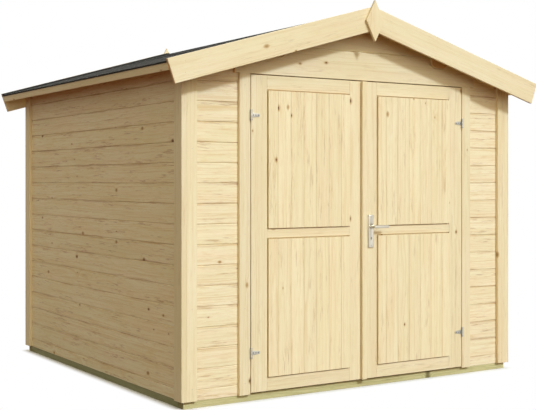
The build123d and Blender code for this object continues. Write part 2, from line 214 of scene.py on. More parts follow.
def makeSpruce(name, look):
    material, add = newMaterial(name)
    grain = add("ShaderNodeAttribute", out="Vector", attribute_name="grain")
    tone, across, endGrain = [
        add("ShaderNodeAttribute", out="Fac", attribute_name=layer)
        for layer in ("tone", "across", "endGrain")]

    masks = {}
    for stain, spot in stains.items():
        speckle = grainNoise(add, grain, spot["length"], spot["width"], spot.get("detail", 3.0))
        masks[stain] = add("ShaderNodeMapRange", {
            "Value": speckle, "From Min": spot["from"], "From Max": spot["full"],
            "To Max": look.get(stain, 1.0)}, interpolation_type="SMOOTHSTEP")

    # Knots: one place in each cell of the board's face, kept in only some of the cells, and
    # each a little longer along the board than across
    knotSpace = add("ShaderNodeVectorMath", {
        0: grain, 1: (knots["slimness"], 1, 1)}, operation="MULTIPLY")
    cells = add("ShaderNodeTexVoronoi", {
        "Vector": knotSpace, "Scale": 1 / knots["spacing"]}, voronoi_dimensions="2D").node.outputs
    chances = add("ShaderNodeSeparateColor", {0: cells["Color"]}).node.outputs
    kept = add("ShaderNodeMath", {0: chances[0], 1: look["knotShare"]}, operation="LESS_THAN")
    away = add("ShaderNodeMath", {0: cells["Distance"], 1: knots["spacing"]}, operation="MULTIPLY")
    knotRadius = add("ShaderNodeMapRange", {
        "Value": chances[1], "To Min": knots["smallest"], "To Max": knots["largest"]})
    ragged = add("ShaderNodeTexNoise", {
        "Vector": grain, "Scale": 1 / knots["raggedSize"], "Detail": 2.0})
    wobble = add("ShaderNodeMath", {
        0: ragged, 1: knots["raggedDepth"], 2: away}, operation="MULTIPLY_ADD")
    share = add("ShaderNodeMath", {0: wobble, 1: knotRadius}, operation="DIVIDE")
    depth = add("ShaderNodeMapRange", {
        "Value": chances[2], "From Min": knots["faintUnder"], "From Max": knots["darkOver"],
        "To Min": knots["faintest"]})
    offset = add("ShaderNodeVectorMath", {
        0: knotSpace, 1: cells["Position"]}, operation="SUBTRACT")
    slim = add("ShaderNodeVectorMath", {
        0: offset, 1: (knots["flameSlim"], 1, 0)}, operation="MULTIPLY")
    flameAway = add("ShaderNodeVectorMath", {0: slim}, "Value", operation="LENGTH")
    marks = {
        "core": (share, *knots["core"], depth, "SMOOTHSTEP"),
        "rim": (share, *knots["rim"], knots["rimStrength"], "SMOOTHSTEP"),
        "halo": (away, knots["reach"], 0.0, 1.0, "SMOOTHERSTEP"),
        "flame": (flameAway, knots["flameWidth"], 0.0, knots["flameDepth"], "SMOOTHSTEP"),
    }
    for mark, (distance, start, full, strength, fade) in marks.items():
        drawn = add("ShaderNodeMapRange", {
            "Value": distance, "From Min": start, "From Max": full, "To Max": strength},
            interpolation_type=fade)
        masks[mark] = add("ShaderNodeMath", {0: drawn, 1: kept}, operation="MULTIPLY")

    # Growth rings about the pith, wandering along the board and bending round the knots
    rounded = add("ShaderNodeVectorMath", {0: grain, 1: (0, 1, 1)}, operation="MULTIPLY")
    fromPith = add("ShaderNodeVectorMath", {0: rounded}, "Value", operation="LENGTH")
    drift = grainNoise(add, grain, growth["driftLength"], growth["driftWidth"], 2.0, 0.5)
    wandered = add("ShaderNodeMath", {
        0: drift, 1: growth["drift"], 2: fromPith}, operation="MULTIPLY_ADD")
    bent = add("ShaderNodeMath", {
        0: masks["halo"], 1: knots["bend"], 2: wandered}, operation="MULTIPLY_ADD")
    rings = add("ShaderNodeTexNoise", {
        "W": bent, "Scale": 1 / look["ringWidth"], "Detail": growth["detail"],
        "Roughness": growth["roughness"]}, noise_dimensions="1D")
    masks["latewood"] = add("ShaderNodeMapRange", {
        "Value": rings, "From Min": growth["from"], "From Max": growth["full"],
        "To Max": look["ringContrast"]}, interpolation_type="SMOOTHSTEP")

    # The flecks keep to their nests, and the edge streaks to the board's edges
    nearEdge = add("ShaderNodeMath", {0: across}, operation="ABSOLUTE")
    edgeZone = add("ShaderNodeMapRange", {
        "Value": nearEdge, "From Min": planedFace["edgeFrom"], "From Max": planedFace["edgeFull"]},
        interpolation_type="SMOOTHSTEP")
    for mark, area in (("fleck", masks["nest"]), ("edgeStreak", edgeZone)):
        masks[mark] = add("ShaderNodeMath", {0: masks[mark], 1: area}, operation="MULTIPLY")
    masks["sawnEnd"] = add("ShaderNodeMath", {
        0: endGrain, 1: planedFace["sawnEnd"]}, operation="MULTIPLY")

    color = hexColor(look["pale"])
    for mark, tint in paintOrder.items():
        color = add("ShaderNodeMix", {
            0: masks[mark], 6: color, 7: hexColor(look[tint])}, 2, data_type="RGBA")
    level = add("ShaderNodeMapRange", {"Value": tone, "To Min": 1 - look["toneSpread"]})
    color = add("ShaderNodeVectorMath", {0: color, "Scale": level}, operation="SCALE")

    rough = add("ShaderNodeMapRange", {
        "Value": masks["fibre"], "To Min": look["roughness"] - planedFace["smoother"],
        "To Max": look["roughness"] + planedFace["rougher"]})
    height = add("ShaderNodeMath", {
        0: masks["latewood"], 1: planedFace["ringRelief"], 2: masks["pore"]},
        operation="MULTIPLY_ADD")
    finishSurface(add, height, planedFace["bumpStrength"], look["bumpDepth"],
                  {"Base Color": color, "Roughness": rough, "IOR": planedFace["ior"],
                   "Specular IOR Level": planedFace["specular"]})
    return material


# Roofing felt: bitumen sheet faced with crushed slate, so it is dull, gritty and nearly black,
# with paler patches where grit has worn off. Real grit is about 1 mm, too fine to show here, so
# it is drawn three times as coarse.
feltLook = {
    "dark": "#1A1A19", "worn": "#343330", "grit": "#53514D", "gritSize": 3 * mm, "gritFrom": 0.5,
    "patchSize": 420 * mm, "wornFrom": 0.35, "wornFull": 0.65, "roughness": 0.94,
    "specular": 0.06, "bumpStrength": 0.6, "bumpDepth": 1.2 * mm,
}


def makeFelt(name):
    material, add = newMaterial(name)
    place = add("ShaderNodeTexCoord", out="Object")
    grit = add("ShaderNodeTexVoronoi", {
        "Vector": place, "Scale": 1 / feltLook["gritSize"]}).node.outputs
    speck = add("ShaderNodeSeparateColor", {0: grit["Color"]})
    patch = add("ShaderNodeTexNoise", {
        "Vector": place, "Scale": 1 / feltLook["patchSize"], "Detail": 6.0, "Roughness": 0.65})
    worn = add("ShaderNodeMapRange", {
        "Value": patch, "From Min": feltLook["wornFrom"], "From Max": feltLook["wornFull"]})
    light = add("ShaderNodeMapRange", {"Value": speck, "From Min": feltLook["gritFrom"]})
    color = hexColor(feltLook["dark"])
    for mask, tint in ((worn, "worn"), (light, "grit")):
        color = add("ShaderNodeMix", {
            0: mask, 6: color, 7: hexColor(feltLook[tint])}, 2, data_type="RGBA")
    finishSurface(add, grit["Distance"], feltLook["bumpStrength"], feltLook["bumpDepth"],
                  {"Base Color": color, "Roughness": feltLook["roughness"],
                   "Specular IOR Level": feltLook["specular"]})
    return material


# Metals: bright zinc plating with a faint spangle on the hinges, dull grey hot-dipped zinc on the
# clout nails and strap screws, and satin anodised aluminium, brushed upright, on the handle.
# "low" and "high" are the roughness of the smoothest and the roughest spots.
metalGrain = {"strength": 0.12, "depth": 0.1 * mm}
# The bright zinc and the aluminium are their own pale grey tinted warm: a painted reflection of the
# warm wood round them.
metalLooks = {
    "zincPlatedSteel": {"light": "#CFCABC", "dark": "#98948A", "low": 0.30, "high": 0.44,
                        "length": 9 * mm, "width": 9 * mm},
    "hotDippedZinc": {"light": "#7E8386", "dark": "#5F6467", "low": 0.55, "high": 0.75,
                      "length": 3 * mm, "width": 3 * mm},
    "satinAluminium": {"light": "#D4CEBF", "dark": "#BCB6A8", "low": 0.26, "high": 0.36,
                       "length": 40 * mm, "width": 0.9 * mm},
}


def makeMetal(name, look):
    material, add = newMaterial(name)
    place = add("ShaderNodeTexCoord", out="Object")
    squeeze = (1 / look["width"], 1 / look["width"], 1 / look["length"])
    scaled = add("ShaderNodeVectorMath", {0: place, 1: squeeze}, operation="MULTIPLY")
    brushed = add("ShaderNodeTexNoise", {"Vector": scaled, "Scale": 1.0, "Detail": 3.0})
    color = add("ShaderNodeMix", {
        0: brushed, 6: hexColor(look["dark"]), 7: hexColor(look["light"])}, 2, data_type="RGBA")
    rough = add("ShaderNodeMapRange", {
        "Value": brushed, "To Min": look["low"], "To Max": look["high"]})
    finishSurface(add, brushed, metalGrain["strength"], metalGrain["depth"],
                  {"Base Color": color, "Metallic": 1.0, "Roughness": rough})
    return material


finishes = {name: makeSpruce(name, look) for name, look in spruceFinishes.items()}
finishes["slateFacedFelt"] = makeFelt("slateFacedFelt")
for metal, metalLook in metalLooks.items():
    finishes[metal] = makeMetal(metal, metalLook)
print("materials made:", len(finishes))


# Mesh helpers. An island is one separate solid of a working mesh.
def islandsOf(bm):
    seen, islands = set(), []
    for start in bm.verts:
        if start in seen:
            continue
        seen.add(start)
        island, stack = [], [start]
        while stack:
            vert = stack.pop()
            island.append(vert)
            for edge in vert.link_edges:
                other = edge.other_vert(vert)
                if other not in seen:
                    seen.add(other)
                    stack.append(other)
        islands.append(island)
    return islands


def boundsOf(points):
    low = Vector([min(p[i] for p in points) for i in range(3)])
    high = Vector([max(p[i] for p in points) for i in range(3)])
    return low, high


# A number from 0 to 1 that a place always gives again: large uneven factors scatter it
scatter = {"factors": (127.1, 311.7, 74.7), "spread": 43758.5453}


def steadyNumber(point):
    mixed = math.sin(sum(p * f for p, f in zip(point, scatter["factors"]))) * scatter["spread"]
    return mixed - math.floor(mixed)


# Gives each board its own stretch of tree: the grain runs along its longest side. "across" goes
# from -1 at one edge of the board to 1 at the other, and "endGrain" marks the sawn ends, which
# face along the board by more than this cosine.
boardGrain = {
    "nearest": 15 * mm, "farthest": 90 * mm, "trunk": 40.0, "secondDraw": 3.7, "endCosine": 0.7,
}
squareAxes = (axisX, axisY, axisZ)


def giveGrain(bm, axes=squareAxes):
    missing = [name for name in ("tone", "across") if not bm.verts.layers.float.get(name)]
    for name in missing:
        bm.verts.layers.float.new(name)
    bm.verts.layers.float_vector.new("grain")
    bm.faces.layers.float.new("endGrain")
    toneLayer = bm.verts.layers.float["tone"]
    grainLayer = bm.verts.layers.float_vector["grain"]
    acrossLayer = bm.verts.layers.float["across"]
    endLayer = bm.faces.layers.float["endGrain"]
    bm.normal_update()
    for island in islandsOf(bm):
        low, high = boundsOf([[v.co.dot(axis) for axis in axes] for v in island])
        order = sorted(range(3), key=lambda i: low[i] - high[i])
        along, across, depth = [axes[i] for i in order]
        middle = (low + high) / 2
        centre = sum((axes[i] * middle[i] for i in range(3)), Vector())
        halfWidth = (high[order[1]] - low[order[1]]) / 2
        seed = steadyNumber(centre)
        second = steadyNumber(centre * boardGrain["secondDraw"] + axisX)
        angle = 2 * math.pi * second
        pith = boardGrain["nearest"] + (boardGrain["farthest"] - boardGrain["nearest"]) * seed
        for v in island:
            local = v.co - centre
            v[grainLayer] = (local.dot(along) + seed * boardGrain["trunk"],
                             local.dot(across) + pith * math.cos(angle),
                             local.dot(depth) + pith * math.sin(angle))
            if "across" in missing:
                v[acrossLayer] = local.dot(across) / halfWidth
            if "tone" in missing:
                v[toneLayer] = second
        for face in {face for v in island for face in v.link_faces}:
            face[endLayer] = float(abs(face.normal.dot(along)) > boardGrain["endCosine"])


# Turns a working mesh into a plain one and frees it
def meshFrom(bm, name):
    mesh = bpy.data.meshes.new(name)
    bm.to_mesh(mesh)
    bm.free()
    return mesh


# Makes a finished piece that rides on its body, in place of the nodes that it replaces
def placePiece(bm, name, body, finish, replaced=(), smoothBelow=None):
    bmesh.ops.recalc_face_normals(bm, faces=bm.faces)
    for face in bm.faces:
        face.smooth = smoothBelow is not None
    mesh = meshFrom(bm, name)
    if smoothBelow is not None:
        mesh.set_sharp_from_angle(angle=math.radians(smoothBelow))
    mesh.materials.clear()
    mesh.materials.append(finishes[finish])
    piece = addObject(name, mesh)
    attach(piece, body)
    if replaced:
        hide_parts(*replaced)
    return piece


# How near points are merged, how near a cut they count as on it, and what bends count as flat
tolerance = {"merge": 0.02 * mm, "onCut": 0.001 * mm, "flatDegrees": 1}


def flatten(bm):
    bmesh.ops.dissolve_limit(bm, angle_limit=math.radians(tolerance["flatDegrees"]),
                             verts=bm.verts, edges=bm.edges)


# A CAD node's mesh, its loose triangles merged
def nodeMesh(name):
    bm = bmesh.new()
    bm.from_mesh(nodes[name].data)
    bmesh.ops.remove_doubles(bm, verts=bm.verts, dist=tolerance["merge"])
    flatten(bm)
    return bm


# The box of each separate solid in a node, from low to high and left to right
def partBoxes(name):
    bm = nodeMesh(name)
    boxes = [boundsOf([v.co for v in island]) for island in islandsOf(bm)]
    bm.free()
    return sorted(boxes, key=lambda box: (round(box[0].z, 3), box[0].x, box[0].y))


# Cuts a mesh by a plane, keeps what lies inward of it and closes the cut
def keepSide(bm, point, inward):
    geometry = bm.verts[:] + bm.edges[:] + bm.faces[:]
    bmesh.ops.bisect_plane(bm, geom=geometry, dist=tolerance["onCut"], plane_co=point,
                           plane_no=inward, clear_inner=True)
    rims = [edge for edge in bm.edges if edge.is_boundary]
    if rims:
        bmesh.ops.holes_fill(bm, edges=rims, sides=0)


# Rounds every edge that bends by more than these degrees
def softenEdges(bm, width, bend=30, segments=2, profile=0.6):
    sharp = [e for e in bm.edges if e.is_manifold and e.calc_face_angle(0) > math.radians(bend)]
    bmesh.ops.bevel(bm, geom=sharp, offset=width, segments=segments, profile=profile,
                    affect="EDGES", clamp_overlap=True)


def joinInto(target, source):
    mesh = meshFrom(source, "part")
    target.from_mesh(mesh)
    bpy.data.meshes.remove(mesh)


# Faces between each ring of points and the next, and over both ends
def skinRings(bm, rings):
    count = len(rings[0])
    for first, second in zip(rings, rings[1:]):
        for i in range(count):
            j = (i + 1) % count
            bm.faces.new((first[i], first[j], second[j], second[i]))
    bm.faces.new(rings[0][::-1])
    bm.faces.new(rings[-1])


# The plain mesh that an object's modifiers make of it
def evaluatedMesh(piece):
    graph = bpy.context.evaluated_depsgraph_get()
    return bpy.data.meshes.new_from_object(piece.evaluated_get(graph), depsgraph=graph,
                                           preserve_all_data_layers=True)


# Runs a node tree on a mesh and gives back the mesh that it makes
def runTree(tree, mesh, values):
    carrier = addObject("carrier", mesh)
    modifier = carrier.modifiers.new("nodes", "NODES")
    modifier.node_group = tree
    for socket in tree.interface.items_tree:
        if socket.in_out == "INPUT" and socket.name in values:
            modifier[socket.identifier] = values[socket.name]
    made = evaluatedMesh(carrier)
    bpy.data.objects.remove(carrier)
    bpy.data.meshes.remove(mesh)
    bm = bmesh.new()
    bm.from_mesh(made)
    bpy.data.meshes.remove(made)
    return bm


# Tongued boards. One board is drawn from its section, and a node tree lays the courses. The
# tongue fills this band of the thickness.
tongueBand = (0.36, 0.64)


def boardMesh(section, length, cover, along, across, outward, corner):
    thick, chamfer, gap = section["thickness"], section["chamfer"], section["gap"] / 2
    innerChamfer, tongue, slack = section["innerChamfer"], section["tongue"], section["slack"]
    low, high = [thick * share for share in tongueBand]
    top = cover - gap
    outline = [
        (gap, innerChamfer), (gap + innerChamfer, 0), (top - innerChamfer, 0), (top, innerChamfer),
        (top, low), (top + tongue, low + slack), (top + tongue, high - slack), (top, high),
        (top, thick - chamfer), (top - chamfer, thick), (gap + chamfer, thick),
        (gap, thick - chamfer), (gap, high + slack), (gap + tongue + slack, high + slack),
        (gap + tongue + slack, low - slack), (gap, low - slack),
    ]
    bm = bmesh.new()
    acrossLayer = bm.verts.layers.float.new("across")
    rings = []
    for reach in (0, length):
        rings.append([bm.verts.new(corner + along * reach + across * u + outward * v)
                      for u, v in outline])
        for vert, (u, v) in zip(rings[-1], outline):
            vert[acrossLayer] = max(-1, min(1, (2 * u - cover) / (cover - 2 * gap)))
    skinRings(bm, rings)
    bmesh.ops.recalc_face_normals(bm, faces=bm.faces)
    return meshFrom(bm, "board")


def newTree(name, inputs):
    tree = bpy.data.node_groups.new(name, "GeometryNodeTree")
    for label, kind in inputs.items():
        tree.interface.new_socket(label, in_out="INPUT", socket_type="NodeSocket" + kind)
    tree.interface.new_socket("Result", in_out="OUTPUT", socket_type="NodeSocketGeometry")
    add = partial(addNode, tree)
    return tree, add, add("NodeGroupInput").node.outputs


# Ends a node tree: its instances are made real and get their material
def endTree(add, instances, finish):
    real = add("GeometryNodeRealizeInstances", {0: instances})
    painted = add("GeometryNodeSetMaterial", {"Geometry": real, "Material": finish})
    add("NodeGroupOutput", {0: painted})


def makeCourseTree():
    tree, add, given = newTree("layCourses", {
        "Board": "Geometry", "Board count": "Int", "Cover width": "Float",
        "Lay direction": "Vector", "Seed": "Int", "Finish": "Material",
    })
    step = add("ShaderNodeVectorMath", {
        0: given["Lay direction"], "Scale": given["Cover width"]}, operation="SCALE")
    line = add("GeometryNodeMeshLine", {
        "Count": given["Board count"], "Offset": step}, mode="OFFSET")
    laid = add("GeometryNodeInstanceOnPoints", {"Points": line, "Instance": given["Board"]})
    chance = add("FunctionNodeRandomValue", {"Seed": given["Seed"]}, 1, data_type="FLOAT")
    toned = add("GeometryNodeStoreNamedAttribute", {
        "Geometry": laid, "Name": "tone", "Value": chance}, data_type="FLOAT", domain="INSTANCE")
    endTree(add, toned, given["Finish"])
    return tree


courseTree = makeCourseTree()


def layBoards(section, corner, along, across, outward, length, cover, count, finish, seed):
    board = boardMesh(section, length, cover, along, across, outward, corner)
    return runTree(courseTree, board, {
        "Board count": count, "Cover width": cover, "Lay direction": across, "Seed": seed,
        "Finish": finishes[finish],
    })


# Wall cladding: boards with a shallow V joint, laid level with one shared set of joints
cladding = {
    "section": {"thickness": 19 * mm, "chamfer": 2.9 * mm, "innerChamfer": 1 * mm,
                "gap": 1 * mm, "tongue": 6 * mm, "slack": 0.4 * mm},
    "cover": 117.35 * mm, "firstJoint": 102.5 * mm, "notchPlay": 1 * mm, "firstSeed": 11,
}
wallFaces = {
    "left_wall": -axisX, "right_wall": axisX, "back_wall": axisY, "front_gable": -axisY,
    "front_wall_left": -axisY, "front_wall_right": -axisY,
}
gables = ("back_wall", "front_gable")
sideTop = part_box("right_wall")[1]
ridgeLine = Vector((0, 0, sideTop.z + sideTop.x * math.tan(roofPitch)))


# Lets the purlins through a gable's boards, with a little play round them
def cutByPurlins(piece):
    for name in ("purlins", "ridge_purlin"):
        cutter = nodeMesh(name)
        for island in islandsOf(cutter):
            low, high = boundsOf([v.co for v in island])
            for v in island:
                for i, away in enumerate(v.co - (low + high) / 2):
                    if abs(away) > mm:
                        v.co[i] += math.copysign(cladding["notchPlay"], away)
        tool = addObject("cutter", meshFrom(cutter, "cutter"))
        cut = piece.modifiers.new("notch", "BOOLEAN")
        cut.operation, cut.solver, cut.object = "DIFFERENCE", "EXACT", tool
        made = evaluatedMesh(piece)
        piece.modifiers.clear()
        piece.data = made
        bpy.data.objects.remove(tool)


def cladWall(node, outward, seed, gable):
    low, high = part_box(node)
    along = axisY if abs(outward.x) else axisX
    cover, section = cladding["cover"], cladding["section"]
    below = math.ceil((cladding["firstJoint"] - low.z) / cover)
    start = cladding["firstJoint"] - below * cover
    count = math.ceil((high.z - start) / cover) + 1
    face = low if outward.x + outward.y > 0 else high
    corner = Vector((low.x, low.y, start))
    if along == axisX:
        corner.y = face.y
    else:
        corner.x = face.x
    bm = layBoards(section, corner, along, axisZ, outward, (high - low).dot(along), cover, count,
                   "spruceCladding", seed)
    keepSide(bm, low, axisZ)
    if gable:
        for slope in slopes.values():
            keepSide(bm, ridgeLine, -slope["up"])
    else:
        keepSide(bm, high, -axisZ)
    giveGrain(bm)
    piece = placePiece(bm, node + "_boards", "shed", "spruceCladding", [node])
    if gable:
        cutByPurlins(piece)


for wallSeed, (wall, wallFace) in enumerate(wallFaces.items(), cladding["firstSeed"]):
    cladWall(wall, wallFace, wallSeed, wall in gables)
print("walls clad")

# Floor: tongued boards laid across the joists
flooring = {
    "section": {"thickness": 18 * mm, "chamfer": 0.8 * mm, "innerChamfer": 0.8 * mm,
                "gap": 0.8 * mm, "tongue": 6 * mm, "slack": 0.4 * mm},
    "cover": 113 * mm, "seed": 21,
}


def layFloor():
    low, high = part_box("floor")
    count = math.ceil((high.y - low.y) / flooring["cover"])
    bm = layBoards(flooring["section"], low, axisX, axisY, axisZ, high.x - low.x,
                   flooring["cover"], count, "spruceFraming", flooring["seed"])
    keepSide(bm, high, -axisY)
    giveGrain(bm)
    placePiece(bm, "floor_boards", "shed", "spruceFraming", ["floor"])


layFloor()

# Roof boards: they run down the slope, and their V joints face down, to the eye
roofing = {
    "section": {"thickness": 16 * mm, "chamfer": 2.2 * mm, "innerChamfer": 0.5 * mm,
                "gap": 1 * mm, "tongue": 5 * mm, "slack": 0.4 * mm},
    "cover": 98 * mm, "seed": 31, "spare": 48 * mm,
}


def boardRoof(side, down, up, sign):
    node = "roof_boards_" + side
    low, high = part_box(node)
    length = max(abs(low.x), abs(high.x)) / math.cos(roofPitch)
    top = ridgeLine + up * roofing["section"]["thickness"]
    corner = Vector((top.x, low.y, top.z)) - down * roofing["spare"]
    count = math.ceil((high.y - low.y) / roofing["cover"])
    bm = layBoards(roofing["section"], corner, down, axisY, -up, length + roofing["spare"],
                   roofing["cover"], count, "spruceRoofBoardsPaintedShade", roofing["seed"] + sign)
    keepSide(bm, high, -axisY)
    keepSide(bm, Vector(), axisX * sign)
    eaveEnd = max((v.co for v in nodes[node].data.vertices), key=lambda p: p.dot(down))
    keepSide(bm, eaveEnd, -down)
    giveGrain(bm, (down, up, axisY))
    placePiece(bm, node + "_laid", "shed", "spruceRoofBoardsPaintedShade", [node])


for side, slope in slopes.items():
    boardRoof(side, slope["down"], slope["up"], slope["sign"])
print("floor and roof boarded")

# Roofing felt: on each slope a lower sheet from the eave and an upper one that laps over it,
# turned up against the bargeboards, and a capping strip folded over the ridge. Each sheet lies a
# little unevenly, as felt does. The bend over the eave is in shares of the thickness.
feltSheets = {
    "thickness": 2.6 * mm, "rollWidth": 1000 * mm, "lap": 80 * mm, "climb": 30 * mm,
    "turnDown": 6 * mm, "bendOut": 0.7, "bendLift": 0.8, "capReach": 148 * mm,
    "ripple": 1.1 * mm, "rippleLength": 240 * mm, "stepAlong": 55 * mm, "stepDown": 70 * mm,
    "smoothBelow": 35,
}


# Points down the slope from one place to another, no further apart than the step
def spaced(start, end):
    count = max(1, math.ceil((end - start) / feltSheets["stepDown"]))
    return [start + (end - start) * i / count for i in range(count + 1)]


# A sheet drawn by its lower and upper lines, as (down the slope, height) points, along Y.
# Points beyond the ridge, where the distance is under zero, lie on the other slope.
def sweepSheet(lower, upper, front, back, side, ridgeTop, seed):
    bm = bmesh.new()
    count = math.ceil((back - front) / feltSheets["stepAlong"])
    rings = []
    for step in range(count + 1):
        y = front + (back - front) * step / count
        ring = []
        for down, height in lower + upper[::-1]:
            slope = slopes[side if down >= 0 else {"left": "right", "right": "left"}[side]]
            place = Vector((abs(down) * slope["sign"], y, seed)) / feltSheets["rippleLength"]
            rise = feltSheets["ripple"] * (0.5 + 0.5 * noise.noise(place)) if height >= 0 else 0
            spot = slope["down"] * abs(down) + slope["up"] * (height + rise)
            if down == 0:
                spot = axisZ * (height + rise) / math.cos(roofPitch)
            ring.append(bm.verts.new(spot + Vector((0, y, ridgeTop))))
        rings.append(ring)
    skinRings(bm, rings)
    return bm


def layFelt(side):
    slope, node = slopes[side], "felt_" + side
    low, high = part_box(node)
    edge = max(v.co.dot(slope["down"]) for v in nodes[node].data.vertices)
    thick = feltSheets["thickness"]
    ridgeBase = ridgeLine.z + roofing["section"]["thickness"] / math.cos(roofPitch)
    edge += ridgeBase * math.sin(roofPitch)
    lapStart = edge - feltSheets["rollWidth"]
    lapEnd = lapStart + feltSheets["lap"]
    turn = edge - thick
    lower = [(d, 0) for d in spaced(lapStart, turn)] + [(turn, -feltSheets["turnDown"])]
    upper = [(d, thick) for d in spaced(lapStart, turn)] + [
        (turn + feltSheets["bendOut"] * thick, feltSheets["bendLift"] * thick), (edge, 0),
        (edge, -feltSheets["turnDown"])]
    sheets = sweepSheet(lower, upper, low.y, high.y, side, ridgeBase, 1)
    rising = lapStart - feltSheets["climb"]
    flat = [(d, 0) for d in spaced(0, rising)] + [(lapStart, thick), (lapEnd, thick)]
    lifted = [(d, h + thick) for d, h in flat]
    joinInto(sheets, sweepSheet(flat, lifted, low.y, high.y, side, ridgeBase, 2))
    boardTop = max(v.co.dot(slope["up"]) for v in nodes["bargeboards_" + side].data.vertices)
    rise = boardTop - ridgeBase * math.cos(roofPitch) - feltSheets["ripple"]
    foot, rim = [[(d, h) for d in spaced(0, turn)] for h in (0, rise)]
    for start in (low.y, high.y - thick):
        joinInto(sheets, sweepSheet(foot, rim, start, start + thick, side, ridgeBase, 1))
    placePiece(sheets, node + "_sheets", "shed", "slateFacedFelt", [node],
               feltSheets["smoothBelow"])
    return ridgeBase, lapEnd, edge


for side in slopes:
    ridgeBase, feltLapEnd, feltEdge = layFelt(side)


def layRidgeCap():
    low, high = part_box("ridge_felt")
    thick, reach = feltSheets["thickness"], feltSheets["capReach"]
    across = spaced(-reach, -thick) + spaced(thick, reach)
    lower = [(d, thick) for d in across]
    upper = [(d, thick * 2) for d in across]
    cap = sweepSheet(lower, upper, low.y, high.y, "right", ridgeBase, 1)
    placePiece(cap, "ridge_cap_sheet", "shed", "slateFacedFelt", ["ridge_felt"],
               feltSheets["smoothBelow"])


layRidgeCap()
print("felt laid")

# Planed timbers that keep their shape: only their arrises are eased, by this many millimetres
timbers = {
    "corner_angles": ("spruceTrim", 2.0), "corner_strips": ("spruceTrim", 2.0),
    "door_jambs": ("spruceTrim", 1.8), "door_header": ("spruceTrim", 2.0),
    "bargeboards_left": ("spruceTrim", 2.5), "bargeboards_right": ("spruceTrim", 2.5),
    "finials": ("spruceTrim", 2.0), "eave_fascias": ("spruceTrim", 2.0),
    # The purlins take the trim's finish for its paler end grain, which is partly painted light.
    "purlins": ("spruceTrim", 2.5), "ridge_purlin": ("spruceTrim", 2.0),
    "wall_plates": ("spruceFraming", 2.0), "wall_studs": ("spruceFraming", 2.0),
    "door_posts": ("spruceFraming", 2.0), "door_head": ("spruceFraming", 2.0),
    # The side bearers take the treated pine with painted shade.
    "end_bearers": ("treatedPine", 2.5), "side_bearers": ("treatedPinePaintedShade", 2.5),
    "floor_joists": ("treatedPine", 2.5), "astragal": ("spruceTrim", 2.5),
}
for timber, (timberFinish, easing) in timbers.items():
    timberMesh = nodeMesh(timber)
    softenEdges(timberMesh, easing * mm)
    slope = slopes.get(timber.split("_")[-1]) if timber.startswith("barge") else None
    giveGrain(timberMesh, (slope["down"], slope["up"], axisY) if slope else squareAxes)
    timberBody = "right_door" if timber == "astragal" else "shed"
    placePiece(timberMesh, timber + "_planed", timberBody, timberFinish, [timber])
print("timbers planed:", len(timbers))

# Door leaves: stiles run the full height, rails are let in between them, and tongued boards
# stand in each field
leafLook = {
    "groove": 6 * mm, "easing": 2 * mm,
    "section": {"thickness": 18 * mm, "chamfer": 1.3 * mm, "innerChamfer": 0.8 * mm,
                "gap": 0.5 * mm, "tongue": 6 * mm, "slack": 0.4 * mm},
    "cover": 93 * mm, "seeds": {"left": 41, "right": 51},
}


def buildLeaf(side, seed):
    body = side + "_door"
    frameNode, panelNode = f"door_{side}_frame", f"door_{side}_panels"
    panelLow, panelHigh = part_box(panelNode)
    groove = leafLook["groove"]
    left, right = axisX * (panelLow.x - groove), axisX * (panelHigh.x + groove)
    fields = partBoxes(panelNode)
    levels = [axisZ * z for foot, top in fields for z in (foot.z - groove, top.z + groove)]
    middle = [(left, axisX), (right, -axisX)]
    cuts = [[(left, -axisX)], [(right, axisX)], middle + [(levels[0], -axisZ)],
            middle + [(levels[-1], axisZ)]]
    cuts += [middle + [(lower, axisZ), (upper, -axisZ)] for lower, upper in zip(levels, levels[1:])]
    whole = bmesh.new()
    for planes in cuts:
        part = nodeMesh(frameNode)
        for place, inward in planes:
            keepSide(part, place, inward)
        flatten(part)
        joinInto(whole, part)
    softenEdges(whole, leafLook["easing"])
    giveGrain(whole)
    placePiece(whole, frameNode + "_joined", body, "spruceTrim", [frameNode])

    cover = leafLook["cover"]
    count = math.ceil((panelHigh.x - panelLow.x) / cover)
    start = (panelLow.x + panelHigh.x - count * cover) / 2
    boards = bmesh.new()
    for i, (foot, top) in enumerate(fields):
        corner = Vector((start, panelHigh.y, foot.z))
        field = layBoards(leafLook["section"], corner, axisZ, axisX, -axisY, top.z - foot.z,
                          cover, count, "sprucePanel", seed + i)
        keepSide(field, panelLow, axisX)
        keepSide(field, panelHigh, -axisX)
        joinInto(boards, field)
    giveGrain(boards)
    placePiece(boards, f"door_{side}_boards", body, "sprucePanel", [panelNode])


for leafSide, leafSeed in leafLook["seeds"].items():
    buildLeaf(leafSide, leafSeed)
print("doors built")

# Ironmongery keeps its CAD shape, with its pressed and drawn edges rounded, in millimetres
pressed = {"sharpBend": 50, "smoothBelow": 32}
ironmongery = {
    "hinge_wings": ("shed", "zincPlatedSteel", 0.5),
    "hinge_straps_left": ("left_door", "zincPlatedSteel", 0.5),
    "hinge_straps_right": ("right_door", "zincPlatedSteel", 0.5),
    "handle_plates": ("right_door", "satinAluminium", 0.4),
    "lever_outside": ("lever", "satinAluminium", 0.3),
    "lever_inside": ("lever", "satinAluminium", 0.3),
}
for fitting, (fittingBody, fittingFinish, rounding) in ironmongery.items():
    fittingMesh = nodeMesh(fitting)
    softenEdges(fittingMesh, rounding * mm, pressed["sharpBend"])
    placePiece(fittingMesh, fitting + "_finished", fittingBody, fittingFinish, [fitting],
               pressed["smoothBelow"])
print("ironmongery finished:", len(ironmongery))

